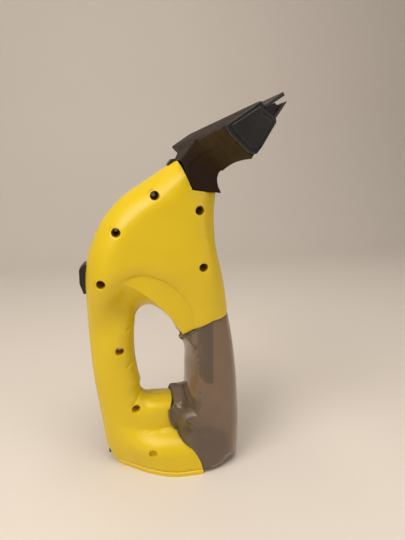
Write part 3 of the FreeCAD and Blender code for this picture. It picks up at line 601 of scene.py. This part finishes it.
def tankBody():
    flat, triangles = netOver(tankOutline, [], [], [columnPath, tankFront], tank["pitch"],
                              tank["rows"])
    half = tankHalf(flat)
    parts = pocketWalls()
    low = tankSeam[tankSeam[:, 1] <= tank["pocketFloor"]]
    high = tankSeam[tankSeam[:, 1] > tank["pocketFloor"]]
    for side in (-1, 1):
        parts.append((standOff(flat, half, side), triangles))
        parts.append(edgeSheet(tankFloor, tankHalf(tankFloor), side, 0.0))
        parts.append(edgeSheet(low, tankHalf(low), side, 0.0))
        parts.append(edgeSheet(high, tankHalf(high), side, tank["pocketHalf"]))
        parts.append(edgeSheet(cheekPath, tankHalf(cheekPath), side, 0.0))
    buildPiece("tank_body", parts, "tank", ["tank_shell"],
               materials["tank_plastic"], tank["wall"], sharp=40)


def tankLid():
    inset = tank["wall"] + 0.2
    lidPath = np.array([p for p in tankTop if tankFront[-1][0] - 4 > p[0] > columnPath[0][0] + 3])
    halves = np.maximum(tankHalf(lidPath) - inset, 1.0)
    parts = []
    for side in (-1, 1):
        sheet, quads = turnedIn(lidPath, halves, side, ((ceilingWindow, 12.0),))
        parts.append(([(x, y, z - tank["lidDrop"]) for x, y, z in sheet], quads))
        skirt = [(x, side * y, z - drop) for drop in (tank["lidDrop"], 1.7, tank["lidDepth"])
                 for (x, z), y in zip(lidPath, halves)]
        count = len(lidPath)
        parts.append((skirt, [(r * count + i, r * count + i + 1, (r + 1) * count + i + 1,
                               (r + 1) * count + i) for r in range(2) for i in range(count - 1)]))
    buildPiece("tank_lid_cap", parts, "tank", ["tank_lid"],
               materials["tank_plastic"], tank["lidWall"], sharp=40)


tankBody()
tankLid()
print("tank made")


# Tongue on the housing that the tank slides back over, under the tank's ear
tongue = dict(half=17.0, back=16.5, front=29.2, floor=30.5, top=64.6, round=4.6)


def extrudedPiece(name, corners, span, body, slot, replaced, bevel, segments=3):
    low, high = span
    count = len(corners)
    points = [(x, y, z) for y in (low, high) for x, z in corners]
    faces = [tuple(range(count)), tuple(range(2 * count - 1, count - 1, -1))]
    faces += [(i, (i + 1) % count, count + (i + 1) % count, count + i) for i in range(count)]
    piece = buildPiece(name, [(points, faces)], body, replaced, materials[slot], sharp=25)
    rounding = piece.modifiers.new("rounding", "BEVEL")
    rounding.width, rounding.segments = bevel * mm, segments
    rounding.limit_method = "ANGLE"
    rounding.angle_limit = radians(25)
    rounding.harden_normals = True
    return piece


extrudedPiece("tank_tongue", [(tongue["back"], tongue["floor"]), (tongue["front"], tongue["floor"]),
                              (tongue["front"], tongue["top"]), (tongue["back"], tongue["top"])],
              (-tongue["half"], tongue["half"]), "housing", "yellow_plastic", [], tongue["round"], 5)


# Suction nozzle: sections across the neck, carried out along the trumpet flare to the mouth

nozzle = dict(tilt=47.3, neckHalf=31.0, mouthHalf=137.0, cornerNeck=9.0, cornerMouth=3.0,
              parting=-169.0, wall=1.8)
axisAlong = np.array([cos(radians(nozzle["tilt"])), 0, sin(radians(nozzle["tilt"]))])
axisAcross = np.array([sin(radians(nozzle["tilt"])), 0, -cos(radians(nozzle["tilt"]))])


def onNeck(along, across, y):
    return tuple(axisAlong * along + axisAcross * across + np.array([0, y, 0]))


def flareCurve():
    neck = [(nozzle["neckHalf"], s) for s in np.linspace(206, 230, 12)]
    first = arcPoints((31.0, 230.0), (41.0, 239.4), (66.0, 245.5), 2.0)
    second = arcPoints((66.0, 245.5), (104.0, 249.9), (137.0, 251.3), 4.0)
    mouth = [(nozzle["mouthHalf"], s) for s in np.linspace(252.5, 277.0, 12)]
    return np.vstack([neck, first[1:], second[1:], mouth])


def backLine(s):
    return np.interp(s, (206, 233.9, 253.0, 277.3), (-173.5, -177.6, -180.6, -174.5))


frontArc = arcPoints((234.7, -133.7), (242.5, -148.7), (253.7, -155.8), 1.0)


def frontLine(s):
    along = np.r_[206, frontArc[:, 0], 258.8, 274.7, 277.3]
    across = np.r_[-131.0, frontArc[:, 1], -156.1, -159.2, -160.0]
    return np.interp(s, along, across)


def section(half, low, high, corner):
    corner = min(corner, (high - low) / 2 - 0.5)
    points = []
    for turn, (y, t) in zip((0, 90, 180, 270), ((half, high), (-half, high), (-half, low), (half, low))):
        centre = (y - np.sign(y) * corner, t - corner * (1 if t == high else -1))
        for angle in np.radians(turn + np.linspace(0, 90, 9)):
            points.append((centre[0] + corner * cos(angle), centre[1] + corner * sin(angle)))
    dense = []
    for i, first in enumerate(points):
        second = points[(i + 1) % len(points)]
        steps = 10 if i % 9 == 8 else 1
        for k in range(steps):
            dense.append((first[0] + (second[0] - first[0]) * k / steps,
                          first[1] + (second[1] - first[1]) * k / steps))
    return dense


def nozzleMesh():
    bm = bmesh.new()
    rings = []
    for half, along in flareCurve():
        corner = np.interp(along, (233, 251, 256), (nozzle["cornerNeck"], 6, nozzle["cornerMouth"]))
        low, high = backLine(along), frontLine(along)
        swayed = []
        for y, t in section(half, low, high, corner):
            part = (t - low) / (high - low)
            s = along + (2 - 3 * part) * ease(along, 206, 226) * ease(half, 110, 50)
            swayed.append(onNeck(s, backLine(s) + part * (frontLine(s) - backLine(s)), y))
        rings.append([bm.verts.new(Vector(p) * mm) for p in swayed])
    for low, high in zip(rings, rings[1:]):
        for i in range(len(low)):
            j = (i + 1) % len(low)
            bm.faces.new((low[i], low[j], high[j], high[i]))
    return bm


def trim(bm, point, normal):
    everything = list(bm.verts) + list(bm.edges) + list(bm.faces)
    bmesh.ops.bisect_plane(bm, geom=everything, dist=1e-7, plane_co=Vector(point) * mm,
                           plane_no=Vector(normal), clear_outer=True)


def nozzleShell(name, node, front):
    bm = nozzleMesh()
    for (ax, az), (bx, bz) in (((26.5, 291.6), (36.1, 267.0)), ((36.1, 267.0), (60.9, 263.1))):
        trim(bm, (ax, 0, az), (bz - az, 0, ax - bx))
    outer = axisAcross if not front else -axisAcross
    trim(bm, onNeck(240, nozzle["parting"] + (0.05 if front else -0.05), 0), outer)
    bmesh.ops.recalc_face_normals(bm, faces=bm.faces)
    facing = axisAcross if front else -axisAcross
    if sum(f.normal.dot(Vector(facing)) * f.calc_area() for f in bm.faces) < 0:
        bmesh.ops.reverse_faces(bm, faces=bm.faces)
    mesh = bpy.data.meshes.new(name)
    bm.to_mesh(mesh)
    bm.free()
    piece = bpy.data.objects.new(name, mesh)
    scene.collection.objects.link(piece)
    wall = piece.modifiers.new("wall", "SOLIDIFY")
    wall.thickness, wall.offset = nozzle["wall"] * mm, -1
    for polygon in mesh.polygons:
        polygon.use_smooth = True
    mesh.set_sharp_from_angle(angle=radians(62))
    mesh.materials.append(materials["smoke_plastic"])
    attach(piece, "nozzle")
    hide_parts(node)
    return piece


nozzleShell("nozzle_back", "nozzle_back_shell", False)
nozzleShell("nozzle_front", "nozzle_front_shell", True)

mouthCorners = [(38.8, 308.4), (59.8, 322.1), (61.6, 319.8), (61.6, 317.5), (69.3, 312.0),
                (69.3, 309.9), (60.8, 296.0), (57.6, 292.1), (53.1, 292.9), (41.6, 303.5)]


def insetCorners(corners, gap):
    points = np.array(corners)
    centre = points.mean(0)
    away = points - centre
    return centre + away * (1 - gap / np.hypot(*away.T)[:, None])


def endCap(name, node, side):
    outer, inner = side * 136.9, side * 139.1
    extrudedPiece(name, mouthCorners, tuple(sorted((outer, inner))), "nozzle", "black_plastic",
                  [node], 0.9)
    raised = insetCorners(mouthCorners, 3.2)
    low, high = sorted((inner - side, side * 140))
    extrudedPiece(name + "_panel", raised, (low, high), "nozzle", "black_plastic", [], 0.7)


endCap("end_cap_right", "right_end_cap", -1)
endCap("end_cap_left", "left_end_cap", 1)


def neckCorners(*corners):
    return [onNeck(along, across, 0)[::2] for along, across in corners]


lipReach = 133.9
extrudedPiece("lip_upper", neckCorners((268.1, -170.9), (268.1, -169.2), (276.0, -169.2), (290.6, -165.1),
                                       (291.4, -167.3), (276.0, -170.9)),
              (-lipReach, lipReach), "nozzle", "rubber", ["upper_lip"], 0.3)
extrudedPiece("lip_lower", neckCorners((268.1, -161.6), (268.1, -160.1), (276.2, -160.1),
                                       (289.0, -161.8), (289.0, -162.3), (277.0, -162.3)),
              (-lipReach, lipReach), "nozzle", "rubber", ["lower_lip"], 0.15)
print("nozzle made")


# Power button and latch tab, each with raised grip ribs on its outer face

def ribbed(corners, face, count, rise):
    start, end = np.array(corners[face]), np.array(corners[face + 1])
    heading = (end - start) / np.hypot(*(end - start))
    outward = rise * np.array([-heading[1], heading[0]])
    made = [tuple(p) for p in corners[:face + 1]]
    for i in range(count):
        low = start + (end - start) * (i + 0.62) / (count + 0.6)
        high = low + heading * 0.9
        made += [tuple(low), tuple(low + outward + heading * 0.2),
                 tuple(high + outward - heading * 0.2), tuple(high)]
    return made + [tuple(p) for p in corners[face + 1:]]


button = dict(half=8.0, outline=[(-55.0, 176.0), (-55.0, 202.4), (-58.4, 202.4), (-62.4, 198.5),
                                 (-62.9, 185.0), (-60.2, 176.0)])
extrudedPiece("button_cap", ribbed(button["outline"], 3, 5, -0.5), (-button["half"], button["half"]),
              "power_button", "charcoal_plastic", ["power_button"], 0.25, 2)
latch = dict(half=7.0, outline=[(222.9, -180.8), (224.4, -181.6), (229.6, -181.6), (231.2, -180.2),
                                (231.2, -177.0), (229.6, -174.6), (222.9, -174.6)])
extrudedPiece("latch_tab", ribbed(neckCorners(*latch["outline"]), 1, 3, 0.4),
              (-latch["half"], latch["half"]), "latch_button", "charcoal_plastic", ["latch_button"], 0.2, 2)


# Drain plug on the far flank of the tank, with a pull tab across its face
plug = dict(x=45.0, z=30.0, base=33.0, profile=[(4.4, 0.0), (4.4, 5.4), (6.8, 5.4), (7.0, 5.7),
                                                (7.0, 6.8), (6.6, 7.2), (4.6, 7.2), (4.2, 6.3)])


def plugPiece():
    count, points, faces = 40, [], []
    for radius, reachOut in plug["profile"]:
        points += [(x, plug["base"] + reachOut, z)
                   for x, z in ring((plug["x"], plug["z"]), radius, count)]
    rows = len(plug["profile"])
    for r in range(rows - 1):
        faces += [(r * count + i, r * count + (i + 1) % count, (r + 1) * count + (i + 1) % count,
                   (r + 1) * count + i) for i in range(count)]
    faces += [tuple(range(count)), tuple(range((rows - 1) * count, rows * count))]
    buildPiece("plug_flange", [(points, faces)], "tank_plug", ["tank_plug"],
               materials["rubber"], sharp=50)
    x, z, top = plug["x"], plug["z"], plug["base"] + 7.2
    grip = [(x - 4.0, z - 0.9), (x - 3.2, z - 1.5), (x + 3.2, z - 1.5), (x + 4.0, z - 0.9),
            (x + 4.0, z + 0.9), (x + 3.2, z + 1.5), (x - 3.2, z + 1.5), (x - 4.0, z + 0.9)]
    extrudedPiece("plug_grip", grip, (top - 1.0, top - 0.1), "tank_plug", "rubber", [], 0.3)


plugPiece()
print("controls and plug made")


# Camera, floor and light

view = dict(place=(-0.02056, -0.39410, 0.28638), yaw=10.0, down=13.5, roll=-0.7, lens=29.13)
yaw, down, roll = radians(view["yaw"]), radians(view["down"]), radians(view["roll"])
forward = Vector((sin(yaw) * cos(down), cos(yaw) * cos(down), -sin(down)))
level = Vector((cos(yaw), -sin(yaw), 0))
upright = level.cross(forward)
across = cos(roll) * level + sin(roll) * upright
upward = cos(roll) * upright - sin(roll) * level
camera = bpy.data.objects.new("camera", bpy.data.cameras.new("camera"))
camera.data.lens = view["lens"]
camera.matrix_world = Matrix.Translation(view["place"]) @ Matrix(
    (across, upward, -forward)).transposed().to_4x4()
scene.collection.objects.link(camera)
scene.camera = camera
scene.view_settings.view_transform = "Standard"


def flatMaterial(name, colour, roughness):
    material = bpy.data.materials.new(name)
    material.use_nodes = True
    shader = material.node_tree.nodes["Principled BSDF"]
    shader.inputs["Base Color"].default_value = (*colour, 1)
    shader.inputs["Roughness"].default_value = roughness
    return material


def studioFloor():
    mesh = bpy.data.meshes.new("studio_floor")
    bm = bmesh.new()
    sweep = [(-1.6, 0.0)] + [(0.9 + 0.6 * sin(t), 0.6 - 0.6 * cos(t))
                             for t in np.linspace(0, np.pi / 2, 12)] + [(1.5, 2.6)]
    rows = [[bm.verts.new((x, y, z)) for x in (-3.0, 3.0)] for y, z in sweep]
    for low, high in zip(rows, rows[1:]):
        bm.faces.new((low[0], low[1], high[1], high[0]))
    bm.to_mesh(mesh)
    bm.free()
    for polygon in mesh.polygons:
        polygon.use_smooth = True
    floor = bpy.data.objects.new("studio_floor", mesh)
    mesh.materials.append(flatMaterial("studio_floor", (0.70, 0.64, 0.58), 0.6))
    scene.collection.objects.link(floor)


lights = [
    dict(name="window", place=(-0.9, -0.7, 1.2), size=0.9, power=15, colour=(1.0, 0.95, 0.88)),
    dict(name="ceiling", place=(0.1, -0.3, 1.6), size=1.0, power=15, colour=(1.0, 0.93, 0.84)),
    dict(name="fill", place=(0.9, -0.9, 0.6), size=0.9, power=4, colour=(1.0, 0.92, 0.85)),
]


def addLights():
    for lamp in lights:
        data = bpy.data.lights.new(lamp["name"], "AREA")
        data.size, data.energy, data.color = lamp["size"], lamp["power"], lamp["colour"]
        light = bpy.data.objects.new(lamp["name"], data)
        light.location = lamp["place"]
        aim = Vector((0, 0, 0.15)) - light.location
        light.rotation_euler = aim.to_track_quat("-Z", "Y").to_euler()
        scene.collection.objects.link(light)
    world = bpy.data.worlds.new("soft_room")
    world.use_nodes = True
    world.node_tree.nodes["Background"].inputs["Color"].default_value = (1.0, 0.95, 0.9, 1)
    world.node_tree.nodes["Background"].inputs["Strength"].default_value = 0.2
    scene.world = world


studioFloor()
addLights()


# Pieces that keep their moulded shape only need their finish
def dressNodes():
    for name, node in frame["nodes"].items():
        if node.hide_render:
            continue
        chosen = nodeSlots.get(name)
        if not chosen:
            continue
        for index in range(max(1, len(node.material_slots))):
            if node.material_slots:
                node.material_slots[index].material = materials[chosen]
            else:
                node.data.materials.append(materials[chosen])


nodeSlots = {part["node"]: part["material_slot"] for part in frame["record"]["subparts"]}
dressNodes()
print("nodes dressed", len(nodeSlots))
